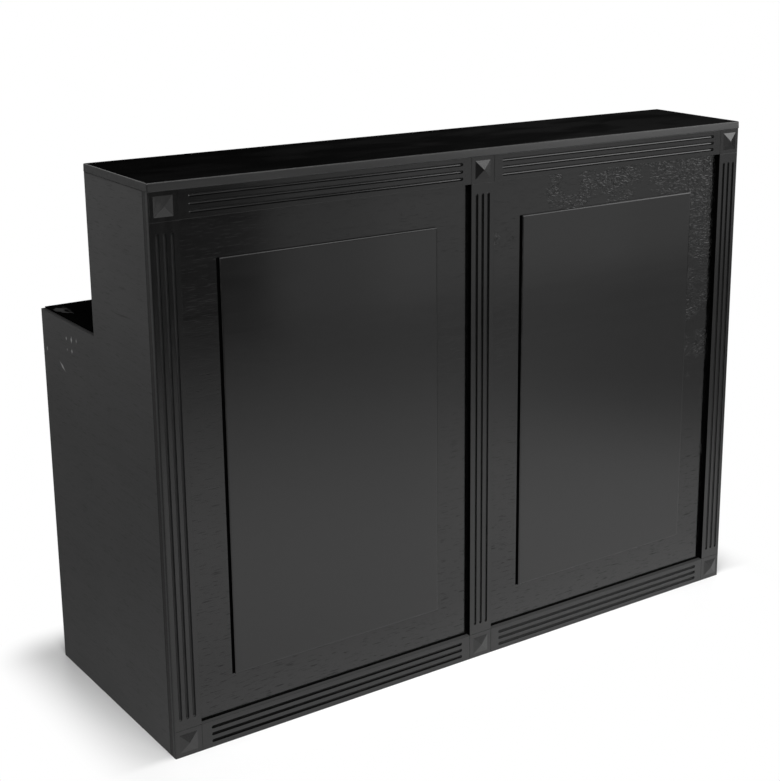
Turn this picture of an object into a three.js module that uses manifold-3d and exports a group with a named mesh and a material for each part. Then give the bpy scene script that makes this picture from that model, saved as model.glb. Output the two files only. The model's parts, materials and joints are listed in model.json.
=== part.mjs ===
// Folding portable bar. A framed front panel stands on the floor with two stepped wings hinged behind it.
// A counter lies on the panel and the tall part of the wings, and a worktop lies between the wings on
// their rear step. The wings fold in behind the panel once the worktop is lifted out, and the counter
// lifts off. Millimetres, +Z up, front towards -Y, origin on the floor in the middle of the bar.

import * as THREE from 'three';
import { mergeVertices } from 'three/addons/utils/BufferGeometryUtils.js';
import Module from 'manifold-3d';

// Overall sizes. Depths are measured back from the front face of the frame.
const barWidth = 1500;
const barHeight = 1148;
const barDepth = 555;
const upperDepth = 282;
const worktopHeight = 806.5;

// Board thicknesses
const frameThickness = 10.8;
const backingThickness = 10.7;
const raisedPanelThickness = 5;
const wingThickness = 15;
const battenThickness = 15;
const counterThickness = 16;
const worktopBoardThickness = 12;
const worktopSurfaceThickness = 2.5;

// Face frame
const stileWidth = 59;
const topRailHeight = 56;
const bottomRailHeight = 58;
const raisedPanelMargin = 82;

// Flutes in the frame boards
const fluteCount = 3;
const flutePitch = 15;
const fluteWidth = 6.8;
const fluteDepth = 4.5;
const fluteStop = 21;

// Rosettes
const rosetteSize = 39;
const rosettePlinth = 1.2;
const rosetteHeight = 5;

// Eased edges
const boardEdge = 0.4;
const raisedPanelEdge = 3.5;
const raisedPanelEdgeDepth = 2;
const frameCornerRadius = 3;
const counterOverhang = 1;
const counterCornerRadius = 3;
const counterTopRadius = 2;
const counterUnderRadius = 1;

// Battens and cleats
const battenWidth = 40;
const battenFloorGap = 10;
const counterCleatDepth = 18;
const counterCleatHeight = 20;
const worktopCleatHeight = 30;
const worktopCleatInset = 15;
const worktopLap = 6.5;

// Butt hinges
const hingeHeight = 76;
const hingeLeafWidth = 30;
const hingeLeafThickness = 2;
const hingeCornerRadius = 4;
const hingeBarrelRadius = 4;
const hingePinRadius = 2;
const hingeTipRadius = 3.4;
const hingeTipHeight = 3;
const hingeEndDistance = 130;
const knuckleCount = 5;
const screwHoleRadius = 1.6;
const screwHeadRadius = 3.2;
const screwRowInset = 11;
const screwEndInset = 13;

// Clearances
const fitGap = 0.3;
const runningGap = 0.3;
const liftGap = 1;
const swingGap = 12;
const stepGap = 4;
const foldClearance = 3.5;

// Facets on the round stretches
const edgeFacets = 2;
const raisedPanelEdgeFacets = 5;
const cornerFacets = 4;
const fluteFacets = 12;
const hingeFacets = 12;

// Sizes that follow from the ones above
const panelWidth = barWidth - 2 * counterOverhang;
const panelHeight = barHeight - counterThickness - fitGap;
const panelThickness = frameThickness + fitGap + backingThickness;
const bayWidth = (panelWidth - 3 * stileWidth) / 2;
const bayHeight = panelHeight - topRailHeight - bottomRailHeight;
const bayCentre = (stileWidth + bayWidth) / 2;
const outerStileCentre = stileWidth + bayWidth;
const wingFront = panelThickness + fitGap;
const wingStep = worktopHeight - worktopSurfaceThickness - fitGap;
const hingeOffset = hingeBarrelRadius + fitGap;
const hingeX = panelWidth / 2 - wingThickness - hingeOffset;
const hingeY = wingFront + battenThickness + hingeOffset;
const foldSpace = hingeY + hingeOffset - panelThickness;
const worktopCleatThickness = foldSpace - fitGap - foldClearance;
const battenInnerX = panelWidth / 2 - wingThickness - fitGap - battenWidth;
const worktopFront = upperDepth + stepGap;
const worktopDepth = barDepth - worktopFront;

const wasm = await Module();
wasm.setup();

const finishes = {
  frame: { color: 0x2e2e2e, roughness: 0.45, metalness: 0 },
  field: { color: 0x1f1f1f, roughness: 0.6, metalness: 0 },
  raisedPanel: { color: 0x303030, roughness: 0.4, metalness: 0 },
  wing: { color: 0x383838, roughness: 0.5, metalness: 0 },
  inside: { color: 0x262626, roughness: 0.6, metalness: 0 },
  counter: { color: 0x161616, roughness: 0.35, metalness: 0 },
  hingeSteel: { color: 0x3a3a3a, roughness: 0.4, metalness: 0.8 },
  pinSteel: { color: 0x8a8a8a, roughness: 0.3, metalness: 1 },
};

function piece(name, geometry, finish, x = 0, y = 0, z = 0) {
  const mesh = new THREE.Mesh(geometry, new THREE.MeshStandardMaterial(finish));
  mesh.name = name;
  mesh.position.set(x, y, z);
  return mesh;
}

// A closed solid for joining and cutting, from the corners of a geometry
function solidOf(geometry) {
  const bare = geometry.clone();
  bare.deleteAttribute('normal');
  bare.deleteAttribute('uv');
  const merged = mergeVertices(bare);
  const corners = merged.index.array;
  const faces = [];
  for (let i = 0; i < corners.length; i += 3) {
    const [a, b, c] = corners.slice(i, i + 3);
    if (a !== b && b !== c && c !== a) faces.push(a, b, c);
  }
  const vertProperties = new Float32Array(merged.attributes.position.array);
  const triVerts = new Uint32Array(faces);
  return new wasm.Manifold(new wasm.Mesh({ numProp: 3, vertProperties, triVerts }));
}

function geometryOf(solid) {
  const mesh = solid.getMesh();
  const geometry = new THREE.BufferGeometry();
  geometry.setAttribute('position', new THREE.BufferAttribute(mesh.vertProperties, 3));
  geometry.setIndex(new THREE.BufferAttribute(mesh.triVerts, 1));
  const faceted = geometry.toNonIndexed();
  faceted.computeVertexNormals();
  return faceted;
}

function outlineOf(points) {
  return new THREE.Shape(points.map(([x, y]) => new THREE.Vector2(x, y)));
}

// An outline given thickness, with both of its faces eased all round
function easedSheet(outline, thickness, edge = boardEdge, edgeDepth = edge, facets = edgeFacets) {
  const sheet = new THREE.ExtrudeGeometry(outline, {
    depth: thickness - 2 * edgeDepth,
    bevelThickness: edgeDepth,
    bevelSize: edge,
    bevelOffset: -edge,
    bevelSegments: facets,
    curveSegments: cornerFacets,
  });
  return sheet.translate(0, 0, edgeDepth);
}

// A board that stands upright: centred in x, up from z = 0, with its front face at y = 0
function board(width, height, thickness, ...easing) {
  const half = width / 2;
  const outline = outlineOf([[-half, 0], [half, 0], [half, height], [-half, height]]);
  return easedSheet(outline, thickness, ...easing).rotateX(Math.PI / 2).translate(0, thickness, 0);
}

// A board that lies flat: centred in x, back from y = 0, up from z = 0
function flatBoard(width, depth, thickness) {
  const half = width / 2;
  const outline = outlineOf([[-half, 0], [half, 0], [half, depth], [-half, depth]]);
  return easedSheet(outline, thickness);
}

// Stopped flutes, as round-ended cuts of half-elliptical section into the face at y = 0, side by side
// across x and centred on z = 0
function fluteCuts(boardLength) {
  const radius = fluteWidth / 2;
  const straight = boardLength - 2 * fluteStop - fluteWidth;
  const capFacets = fluteFacets / 4;
  const cuts = [];
  for (let i = 0; i < fluteCount; i += 1) {
    const cut = new THREE.CapsuleGeometry(radius, straight, capFacets, fluteFacets);
    const across = (i - (fluteCount - 1) / 2) * flutePitch;
    cuts.push(cut.rotateX(Math.PI / 2).scale(1, fluteDepth / radius, 1).translate(across, 0, 0));
  }
  return cuts;
}

// The panel's outline with softened front corners, moved so that a piece at pieceX finds it in place
function panelEnvelope(pieceX) {
  const half = panelWidth / 2;
  const back = panelThickness;
  const round = frameCornerRadius;
  const outline = new THREE.Shape();
  outline.moveTo(-half, back);
  outline.lineTo(-half, round);
  outline.absarc(-half + round, round, round, Math.PI, 1.5 * Math.PI);
  outline.lineTo(half - round, 0);
  outline.absarc(half - round, round, round, 1.5 * Math.PI, 2 * Math.PI);
  outline.lineTo(half, back);
  const room = rosetteSize;
  const prism = new THREE.ExtrudeGeometry(outline, {
    depth: panelHeight + 2 * room,
    bevelEnabled: false,
    curveSegments: cornerFacets,
  });
  return solidOf(prism.translate(-pieceX, 0, -room));
}

function stile(name, x) {
  const length = bayHeight - 2 * fitGap;
  let solid = solidOf(board(stileWidth, length, frameThickness)).intersect(panelEnvelope(x));
  for (const cut of fluteCuts(length)) {
    solid = solid.subtract(solidOf(cut.translate(0, 0, length / 2)));
  }
  return piece(name, geometryOf(solid), finishes.frame, x, 0, bottomRailHeight + fitGap);
}

function rail(name, x, z, height) {
  const length = bayWidth - 2 * fitGap;
  let solid = solidOf(board(length, height, frameThickness));
  for (const cut of fluteCuts(length)) {
    solid = solid.subtract(solidOf(cut.rotateY(Math.PI / 2).translate(0, 0, height / 2)));
  }
  return piece(name, geometryOf(solid), finishes.frame, x, 0, z);
}

// A square block with a low pyramid on a thin plinth, turned as a four-sided lathe
function rosetteBlock(name, x, z, height) {
  const cornerRadius = rosetteSize / Math.SQRT2;
  const root = frameThickness / 2;
  const profile = [
    new THREE.Vector2(0, -root),
    new THREE.Vector2(cornerRadius, -root),
    new THREE.Vector2(cornerRadius, rosettePlinth),
    new THREE.Vector2(0, rosetteHeight),
  ];
  const pyramid = new THREE.LatheGeometry(profile, 4, Math.PI / 4);
  const block = solidOf(board(stileWidth, height, frameThickness)).intersect(panelEnvelope(x));
  const rosette = solidOf(pyramid.rotateX(Math.PI).translate(0, 0, height / 2));
  return piece(name, geometryOf(block.add(rosette)), finishes.frame, x, 0, z);
}

function faceFrame() {
  const frame = new THREE.Group();
  const topRailZ = panelHeight - topRailHeight;
  const columns = { left: -outerStileCentre, centre: 0, right: outerStileCentre };
  for (const [side, x] of Object.entries(columns)) {
    frame.add(
      stile(`${side}_stile`, x),
      rosetteBlock(`top_${side}_rosette_block`, x, topRailZ, topRailHeight),
      rosetteBlock(`bottom_${side}_rosette_block`, x, 0, bottomRailHeight),
    );
  }
  for (const [side, x] of Object.entries({ left: -bayCentre, right: bayCentre })) {
    frame.add(
      rail(`top_${side}_rail`, x, topRailZ, topRailHeight),
      rail(`bottom_${side}_rail`, x, 0, bottomRailHeight),
    );
  }
  return frame;
}

function backingBoard() {
  const sheet = board(panelWidth, panelHeight, backingThickness);
  return piece('backing_board', sheet, finishes.field, 0, frameThickness + fitGap, 0);
}

function raisedPanel(name, x) {
  const width = bayWidth - 2 * raisedPanelMargin;
  const height = bayHeight - 2 * raisedPanelMargin;
  const easing = [raisedPanelEdge, raisedPanelEdgeDepth, raisedPanelEdgeFacets];
  const sheet = board(width, height, raisedPanelThickness, ...easing);
  const front = frameThickness - raisedPanelThickness;
  return piece(name, sheet, finishes.raisedPanel, x, front, bottomRailHeight + raisedPanelMargin);
}

function hingeBatten(name, side) {
  const batten = board(battenWidth, panelHeight - battenFloorGap, battenThickness);
  const x = side * (battenInnerX + battenWidth / 2);
  return piece(name, batten, finishes.inside, x, wingFront, battenFloorGap);
}

// One hinge leaf around a pin along z. It reaches along +x and is screwed to a face at
// y = face * hingeOffset. Its knuckles are the even or the odd ones, counted from below.
function hingeLeaf(face, parity) {
  const pitch = (hingeHeight + runningGap) / knuckleCount;
  const knuckleLength = pitch - runningGap;
  const plateY = face * (hingeBarrelRadius - hingeLeafThickness / 2);
  const notch = hingeBarrelRadius + 2 * runningGap;
  const round = hingeCornerRadius;
  const half = hingeHeight / 2;

  const outline = new THREE.Shape();
  outline.moveTo(notch, -half);
  outline.lineTo(hingeLeafWidth - round, -half);
  outline.absarc(hingeLeafWidth - round, -half + round, round, -Math.PI / 2, 0);
  outline.lineTo(hingeLeafWidth, half - round);
  outline.absarc(hingeLeafWidth - round, half - round, round, 0, Math.PI / 2);
  outline.lineTo(notch, half);
  const flat = { depth: hingeLeafThickness, bevelEnabled: false, curveSegments: cornerFacets };
  const plate = new THREE.ExtrudeGeometry(outline, flat);
  plate.rotateX(Math.PI / 2).translate(0, plateY + hingeLeafThickness / 2, 0);
  let leaf = solidOf(plate);

  for (let i = parity; i < knuckleCount; i += 2) {
    const z = -half + knuckleLength / 2 + i * pitch;
    const reach = notch + hingeLeafThickness;
    const tab = new THREE.BoxGeometry(reach, hingeLeafThickness, knuckleLength);
    const barrel = new THREE.CylinderGeometry(
      hingeBarrelRadius,
      hingeBarrelRadius,
      knuckleLength,
      hingeFacets,
    );
    leaf = leaf.add(solidOf(tab.translate(reach / 2, plateY, z)));
    leaf = leaf.add(solidOf(barrel.rotateX(Math.PI / 2).translate(0, 0, z)));
  }
  const boreRadius = hingePinRadius + runningGap;
  const bore = new THREE.CylinderGeometry(boreRadius, boreRadius, 2 * hingeHeight, hingeFacets);
  leaf = leaf.subtract(solidOf(bore.rotateX(Math.PI / 2)));
  for (const spot of screwSpots()) {
    leaf = leaf.subtract(countersink(face, spot.x, plateY, spot.z));
  }
  return geometryOf(leaf);
}

// Three screws in a leaf: two in a row near the free edge and one between them, nearer the barrel
function screwSpots() {
  const outerX = hingeLeafWidth - screwRowInset;
  const innerX = outerX - screwHeadRadius;
  const endZ = hingeHeight / 2 - screwEndInset;
  return [{ x: outerX, z: -endZ }, { x: innerX, z: 0 }, { x: outerX, z: endZ }];
}

// A countersunk screw hole, wide on the side away from the face that the leaf is screwed to
function countersink(face, x, y, z) {
  const radii = [screwHoleRadius, screwHeadRadius];
  const [above, below] = face > 0 ? radii : radii.reverse();
  const cone = new THREE.CylinderGeometry(above, below, hingeLeafThickness + runningGap, hingeFacets);
  return solidOf(cone.translate(x, y, z));
}

function hingePin() {
  const end = hingeHeight / 2 + runningGap;
  const crown = hingeTipRadius - hingePinRadius / 2;
  const half = [
    [hingePinRadius, end],
    [hingeTipRadius, end],
    [hingeTipRadius, end + hingeTipHeight / 2],
    [crown, end + hingeTipHeight],
    [0, end + hingeTipHeight],
  ];
  const upper = half.map(([r, z]) => new THREE.Vector2(r, z));
  const lower = half.map(([r, z]) => new THREE.Vector2(r, -z)).reverse();
  return new THREE.LatheGeometry([...lower, ...upper], hingeFacets).rotateX(Math.PI / 2);
}

function hingeHeights() {
  const lower = hingeEndDistance;
  const upper = panelHeight - hingeEndDistance;
  return { lower, middle: (lower + upper) / 2, upper };
}

// The leaves and pins that stay on the front panel, on the side given as -1 or 1
function panelHinges(name, side) {
  const group = new THREE.Group();
  for (const [level, z] of Object.entries(hingeHeights())) {
    const leaf = hingeLeaf(side, 0);
    if (side > 0) leaf.rotateZ(Math.PI);
    const hinge = `${name}_${level}_hinge`;
    group.add(
      piece(`${hinge}_panel_leaf`, leaf, finishes.hingeSteel, side * hingeX, hingeY, z),
      piece(`${hinge}_pin`, hingePin(), finishes.pinSteel, side * hingeX, hingeY, z),
    );
  }
  return group;
}

// A wing with its hinge leaves and its cleat, in a group that turns about the hinge pins
function wing(name, side) {
  const group = new THREE.Group();
  group.position.set(side * hingeX, hingeY, 0);

  const outline = outlineOf([
    [wingFront, 0],
    [barDepth, 0],
    [barDepth, wingStep],
    [upperDepth, wingStep],
    [upperDepth, panelHeight],
    [wingFront, panelHeight],
  ]);
  const stepped = easedSheet(outline, wingThickness).rotateX(Math.PI / 2).rotateZ(Math.PI / 2);
  const outerFace = side > 0 ? panelWidth / 2 - wingThickness : -panelWidth / 2;
  group.add(piece(`${name}_wing`, stepped, finishes.wing, outerFace - side * hingeX, -hingeY, 0));

  for (const [level, z] of Object.entries(hingeHeights())) {
    const leaf = hingeLeaf(-side, 1).rotateZ(Math.PI / 2);
    group.add(piece(`${name}_${level}_hinge_wing_leaf`, leaf, finishes.hingeSteel, 0, 0, z));
  }

  const cleatLength = worktopDepth - 2 * worktopCleatInset;
  const cleat = flatBoard(worktopCleatThickness, cleatLength, worktopCleatHeight);
  const cleatX = panelWidth / 2 - wingThickness - fitGap - worktopCleatThickness / 2;
  const cleatTop = wingStep - worktopBoardThickness - fitGap;
  group.add(piece(
    `${name}_worktop_cleat`,
    cleat,
    finishes.inside,
    side * (cleatX - hingeX),
    worktopFront + worktopCleatInset - hingeY,
    cleatTop - worktopCleatHeight,
  ));
  return group;
}

// The worktop's board stops short of the wings, so that they can start to turn while it is lifted.
// Its surface laps over their step and closes the gap.
function worktop() {
  const group = new THREE.Group();
  group.position.set(0, worktopFront, wingStep);
  const clear = panelWidth - 2 * wingThickness;
  const carrier = flatBoard(clear - 2 * swingGap, worktopDepth, worktopBoardThickness);
  const surface = flatBoard(clear + 2 * worktopLap, worktopDepth, worktopSurfaceThickness);
  group.add(
    piece('worktop_board', carrier, finishes.inside, 0, 0, -worktopBoardThickness),
    piece('worktop_surface', surface, finishes.counter, 0, 0, fitGap),
  );
  return group;
}

// A slab with rounded corners, rounded by topRadius above and underRadius below
function roundedSlab(width, depth, thickness, topRadius, underRadius) {
  const half = width / 2;
  const round = counterCornerRadius;
  const outline = new THREE.Shape();
  outline.moveTo(-half + round, 0);
  outline.absarc(half - round, round, round, -Math.PI / 2, 0);
  outline.absarc(half - round, depth - round, round, 0, Math.PI / 2);
  outline.absarc(-half + round, depth - round, round, Math.PI / 2, Math.PI);
  outline.absarc(-half + round, round, round, Math.PI, 1.5 * Math.PI);
  const [upper, lower] = [topRadius, underRadius].map((radius) => {
    const sheet = new THREE.ExtrudeGeometry(outline, {
      depth: 2 * thickness - 2 * radius,
      bevelThickness: radius,
      bevelSize: radius,
      bevelOffset: -radius,
      bevelSegments: cornerFacets,
      curveSegments: cornerFacets,
    });
    return sheet.translate(0, 0, radius);
  });
  return solidOf(upper.translate(0, 0, -thickness)).intersect(solidOf(lower));
}

// The counter and the cleat that drops in behind the front panel, between the hinge battens
function counter() {
  const group = new THREE.Group();
  group.position.set(0, 0, barHeight - counterThickness);
  const depth = upperDepth + 2 * counterOverhang;
  const slab = roundedSlab(barWidth, depth, counterThickness, counterTopRadius, counterUnderRadius);
  const cleat = flatBoard(2 * (battenInnerX - liftGap), counterCleatDepth, counterCleatHeight);
  const cleatZ = -fitGap - counterCleatHeight;
  group.add(
    piece('counter_top', geometryOf(slab), finishes.counter, 0, -counterOverhang, 0),
    piece('counter_cleat', cleat, finishes.inside, 0, panelThickness + liftGap, cleatZ),
  );
  return group;
}

function frontPanel() {
  const group = new THREE.Group();
  group.add(faceFrame(), backingBoard());
  group.add(raisedPanel('left_raised_panel', -bayCentre), raisedPanel('right_raised_panel', bayCentre));
  group.add(hingeBatten('left_hinge_batten', -1), hingeBatten('right_hinge_batten', 1));
  group.add(panelHinges('left', -1), panelHinges('right', 1));
  return group;
}

const bar = new THREE.Group();
bar.position.y = (rosetteHeight - barDepth) / 2;
bar.add(frontPanel(), wing('left', -1), wing('right', 1), worktop(), counter());

export default bar;
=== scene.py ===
"""Looks of the folding portable bar: black paint, matt tops and lacquered hinges in a pale studio."""

import json
import logging
import math
from dataclasses import dataclass, replace
from enum import Enum
from typing import Any

import bmesh
import bpy
from bmesh.types import BMEdge, BMesh, BMFace, BMVert
from bpy.types import Material, Node, NodeSocket, NodeTree, Object
from mathutils import Matrix, Vector


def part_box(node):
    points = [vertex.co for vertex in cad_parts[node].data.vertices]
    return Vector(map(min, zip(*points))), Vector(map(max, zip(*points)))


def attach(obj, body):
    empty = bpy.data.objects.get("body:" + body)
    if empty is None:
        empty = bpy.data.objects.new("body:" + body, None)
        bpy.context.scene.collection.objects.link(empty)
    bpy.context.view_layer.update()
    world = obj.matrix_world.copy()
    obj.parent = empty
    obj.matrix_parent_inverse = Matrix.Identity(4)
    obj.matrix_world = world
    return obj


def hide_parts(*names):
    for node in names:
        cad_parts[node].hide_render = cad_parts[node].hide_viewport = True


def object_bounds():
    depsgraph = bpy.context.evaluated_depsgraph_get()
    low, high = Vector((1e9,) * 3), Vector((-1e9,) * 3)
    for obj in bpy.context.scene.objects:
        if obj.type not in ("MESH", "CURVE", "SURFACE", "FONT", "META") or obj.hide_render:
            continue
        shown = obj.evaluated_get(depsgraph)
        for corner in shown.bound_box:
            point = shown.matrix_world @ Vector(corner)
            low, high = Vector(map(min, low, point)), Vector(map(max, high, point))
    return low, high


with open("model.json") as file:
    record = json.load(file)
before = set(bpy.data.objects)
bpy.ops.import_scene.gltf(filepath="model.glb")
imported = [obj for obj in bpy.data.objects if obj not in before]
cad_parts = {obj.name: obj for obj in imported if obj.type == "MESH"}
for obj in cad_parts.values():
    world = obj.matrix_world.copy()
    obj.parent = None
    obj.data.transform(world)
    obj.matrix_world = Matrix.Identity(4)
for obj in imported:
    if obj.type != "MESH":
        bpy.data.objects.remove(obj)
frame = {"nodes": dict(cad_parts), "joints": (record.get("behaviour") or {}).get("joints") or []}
CAD_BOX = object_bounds()

log = logging.getLogger("portable_bar")

MM = 0.001
TOLERANCE = 0.01 * MM
FACING = 0.999        # the least cosine of a face that looks straight along an axis
WHITE = (1.0, 1.0, 1.0, 1.0)
X_AXIS = Vector((1.0, 0.0, 0.0))
Y_AXIS = Vector((0.0, 1.0, 0.0))
Z_AXIS = Vector((0.0, 0.0, 1.0))

Box = tuple[Vector, Vector]
Pair = tuple[float, float]
Triple = tuple[float, float, float]


class Side(Enum):
    """The two ends of the bar."""

    LEFT = -1
    RIGHT = 1

    @property
    def word(self) -> str:
        """The side's name as node names spell it."""
        return self.name.lower()


class Grain(Enum):
    """The way a board's grain runs."""

    ACROSS = 0
    DEEP = 1
    UPRIGHT = 2

    def size(self, along: float, across: float) -> Triple:
        """Give a pattern's size along each axis, from its size along and across the grain."""
        return tuple(along if axis == self.value else across for axis in range(3))


class Shading(Enum):
    """How the edges of a piece look."""

    ROUNDED = "rounded"
    CRISP = "crisp"


@dataclass(frozen=True)
class Pattern:
    """A cloudy pattern: its size along and across the grain, its finer layers and its distortion."""

    along: float
    across: float
    detail: float = 2.0
    bend: float = 0.0

    @classmethod
    def even(cls, size: float, detail: float = 2.0) -> "Pattern":
        """Make a pattern that is the same along every axis."""
        return cls(size, size, detail)


@dataclass(frozen=True)
class Value:
    """An output of a node, which Python's operators extend with Math nodes."""

    sheet: "Nodes"
    node: Node
    out: str | int = 0

    @property
    def socket(self) -> NodeSocket:
        """The output's socket."""
        return self.node.outputs[self.out]

    def other(self, name: str) -> "Value":
        """Give another output of the same node."""
        return Value(self.sheet, self.node, name)

    def least(self, other: "Value | float") -> "Value":
        """Give the smaller of two values."""
        return self.sheet.math("MINIMUM", self, other)

    def most(self, other: "Value | float") -> "Value":
        """Give the larger of two values."""
        return self.sheet.math("MAXIMUM", self, other)

    def __add__(self, other: "Value | float") -> "Value":
        """Add a value or a number."""
        return self.sheet.math("ADD", self, other)

    __radd__ = __add__

    def __sub__(self, other: "Value | float") -> "Value":
        """Take away a value or a number."""
        return self.sheet.math("SUBTRACT", self, other)

    def __rsub__(self, other: float) -> "Value":
        """Take away from a number."""
        return self.sheet.math("SUBTRACT", other, self)

    def __mul__(self, other: "Value | float") -> "Value":
        """Multiply by a value or a number."""
        return self.sheet.math("MULTIPLY", self, other)

    __rmul__ = __mul__

    def __abs__(self) -> "Value":
        """Drop the sign."""
        return self.sheet.math("ABSOLUTE", self)


class Nodes:
    """A node tree under construction, and the one place where its nodes are made."""

    def __init__(self, tree: NodeTree) -> None:
        """Start on an emptied tree."""
        self.tree = tree
        self.tree.nodes.clear()

    def node(
        self,
        kind: str,
        settings: dict[str, Any] | None = None,
        sockets: dict[str | int, Any] | None = None,
        out: str | int = 0,
    ) -> Value:
        """Add one node.

        Args:
            kind: The node's type, without its ShaderNode prefix.
            settings: Its properties, which are set first.
            sockets: Its inputs by name or index, each a number, a colour or a Value to link.
            out: The output to give back.

        Returns:
            That output.
        """
        node = self.tree.nodes.new("ShaderNode" + kind)
        for name, setting in (settings or {}).items():
            setattr(node, name, setting)
        for key, value in (sockets or {}).items():
            if isinstance(value, Value):
                self.tree.links.new(value.socket, node.inputs[key])
            else:
                node.inputs[key].default_value = value
        return Value(self, node, out)

    def math(self, operation: str, *operands: "Value | float") -> Value:
        """Add a Math node with its operation and its inputs in order."""
        return self.node("Math", {"operation": operation}, dict(enumerate(operands)))

    def step(self, value: Value, low: float, high: float) -> Value:
        """Rise smoothly from 0, where the value is low, to 1, where it is high."""
        settings = {"interpolation_type": "SMOOTHSTEP"}
        return self.node("MapRange", settings, {"Value": value, "From Min": low, "From Max": high})

    def length(self, a: Value, b: Value) -> Value:
        """Give the length of two offsets at right angles."""
        return self.math("SQRT", a * a + b * b)

    def split(self, vector: Value) -> tuple[Value, Value, Value]:
        """Give the three parts of a vector."""
        x = self.node("SeparateXYZ", sockets={0: vector})
        return x, x.other("Y"), x.other("Z")

    def rays(self) -> tuple[Value, Value]:
        """Give 1 for rays from the camera, and 1 for rays that a mirror or glass has turned."""
        camera = self.node("LightPath", out="Is Camera Ray")
        return camera, (camera.other("Is Glossy Ray") + camera.other("Is Transmission Ray")).least(1.0)


class Sheet(Nodes):
    """The node tree of a finish, laid out in the piece's own coordinates."""

    MIX_A, MIX_B, MIX_RESULT = 6, 7, 2

    def __init__(self, name: str) -> None:
        """Make an empty material.

        Args:
            name: The material's name.
        """
        self.material = bpy.data.materials.new(name)
        self.material.use_nodes = True
        super().__init__(self.material.node_tree)
        self.place = self.node("TexCoord", out="Object")
        self.axes = self.split(self.place)

    def noise(self, pattern: Pattern, grain: Grain = Grain.ACROSS) -> Value:
        """Lay a cloudy pattern.

        Args:
            pattern: The pattern.
            grain: The way that the grain runs.

        Returns:
            A value that stays around 0.5.
        """
        stretch = tuple(1.0 / size for size in grain.size(pattern.along, pattern.across))
        place = self.node("VectorMath", {"operation": "MULTIPLY"}, {0: self.place, 1: stretch})
        sockets = {"Vector": place, "Scale": 1.0, "Detail": pattern.detail, "Distortion": pattern.bend}
        return self.node("TexNoise", sockets=sockets)

    def before(self, value: Value, face: float) -> Value:
        """Give 1 where a coordinate lies no more than a millimetre past a face."""
        return 1.0 - self.step(value, face + MM, face + 2 * MM)

    @staticmethod
    def grey(level: float) -> tuple[float, ...]:
        """Give a grey of a linear level as a colour."""
        return (level, level, level, 1.0)

    def blend(self, share: Value, under: "Value | float", over: float) -> Value:
        """Lay a grey over a colour.

        Args:
            share: How much of the grey shows.
            under: The colour beneath, or the linear level of a grey.
            over: The grey's linear level.

        Returns:
            The colour of both.
        """
        below = under if isinstance(under, Value) else self.grey(under)
        colours = {0: share, self.MIX_A: below, self.MIX_B: self.grey(over)}
        return self.node("Mix", {"data_type": "RGBA"}, colours, self.MIX_RESULT)

    def mottle(self, share: Value, level: float, spread: float) -> Value:
        """Vary a grey around its linear level by a share of it."""
        return self.blend(share, level * (1.0 - spread), level * (1.0 + spread))

    def relief(self, height: Value, depth: float) -> Value:
        """Turn a height into a normal, with the depth in metres that a height of 1 stands for."""
        return self.node("Bump", sockets={"Height": height, "Distance": depth, "Strength": 1.0})

    def paint(self, **sockets: Any) -> Value:
        """Make a surface shader from its inputs, whose names have underscores for spaces."""
        named = {name.replace("_", " "): value for name, value in sockets.items()}
        return self.node("BsdfPrincipled", sockets=named)

    def mix(self, share: Value, under: Value, over: Value) -> Value:
        """Lay one shader over another, as far as its share goes."""
        return self.node("MixShader", sockets={0: share, 1: under, 2: over})

    def close(self, surface: Value) -> Material:
        """Finish the material with a surface shader and give it back."""
        self.node("OutputMaterial", sockets={"Surface": surface})
        return self.material


def to_faces(value: Value, low: float, high: float) -> Value:
    """Measure how far a coordinate lies inside two faces, from the nearer one."""
    return (value - low).least(high - value)


@dataclass(frozen=True)
class BoardOutline:
    """A plain board, from its lowest to its highest corner."""

    box: Box

    def edge(self, sheet: Sheet) -> Value:
        """Measure how far a point of the surface is from the board's nearest edge."""
        a, b, c = (to_faces(axis, low, high) for axis, low, high in zip(sheet.axes, *self.box))
        return a.least(b).most(a.most(b).least(c))

    def rim(self, sheet: Sheet) -> Value:
        """Measure how far a point of the surface is from the board's left and right ends."""
        low, high = self.box
        return to_faces(sheet.axes[0], low.x, high.x)


@dataclass(frozen=True)
class SteppedOutline:
    """A wing: a board that is tall in front and steps down towards the back."""

    box: Box
    step_depth: float
    step_height: float

    def edge(self, sheet: Sheet) -> Value:
        """Measure how far a point of the surface is from the wing's nearest edge."""
        low, high = self.box
        return to_faces(sheet.axes[0], low.x, high.x).most(self.rim(sheet))

    def rim(self, sheet: Sheet) -> Value:
        """Measure how far a point of the surface is from the narrow faces around the wing.

        Args:
            sheet: The finish.

        Returns:
            The distance.
        """
        low, high = self.box
        _, y, z = sheet.axes
        rear = to_faces(y, low.y, high.y).least(to_faces(z, low.z, self.step_height))
        front = to_faces(y, low.y, self.step_depth).least(to_faces(z, low.z, high.z))
        return rear.most(front)


Outline = BoardOutline | SteppedOutline


@dataclass(frozen=True, kw_only=True)
class Cover:
    """A coat over a board's paint on some of its faces: dull paint, dust, painted shade and painted
    light.
    """

    paint: float
    roughness: float
    specular: float = 0.0
    spread: float = 0.2
    uneven: float = 0.0
    patch: Pattern = Pattern.even(9 * MM, 3.0)

    def where(self, sheet: Sheet) -> Value:
        """Give 1 where it lies."""
        raise NotImplementedError

    def cover(self, sheet: Sheet, under: Value) -> Value:
        """Lay it over the paint.

        Args:
            sheet: The finish.
            under: The shader of the paint.

        Returns:
            The shader of both.
        """
        patch = sheet.noise(self.patch)
        dull = sheet.paint(
            Base_Color=sheet.mottle(patch, self.paint, self.spread),
            Roughness=self.roughness + (patch - 0.5) * self.uneven if self.uneven else self.roughness,
            Specular_IOR_Level=self.specular,
        )
        return sheet.mix(self.where(sheet), under, dull)


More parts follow.
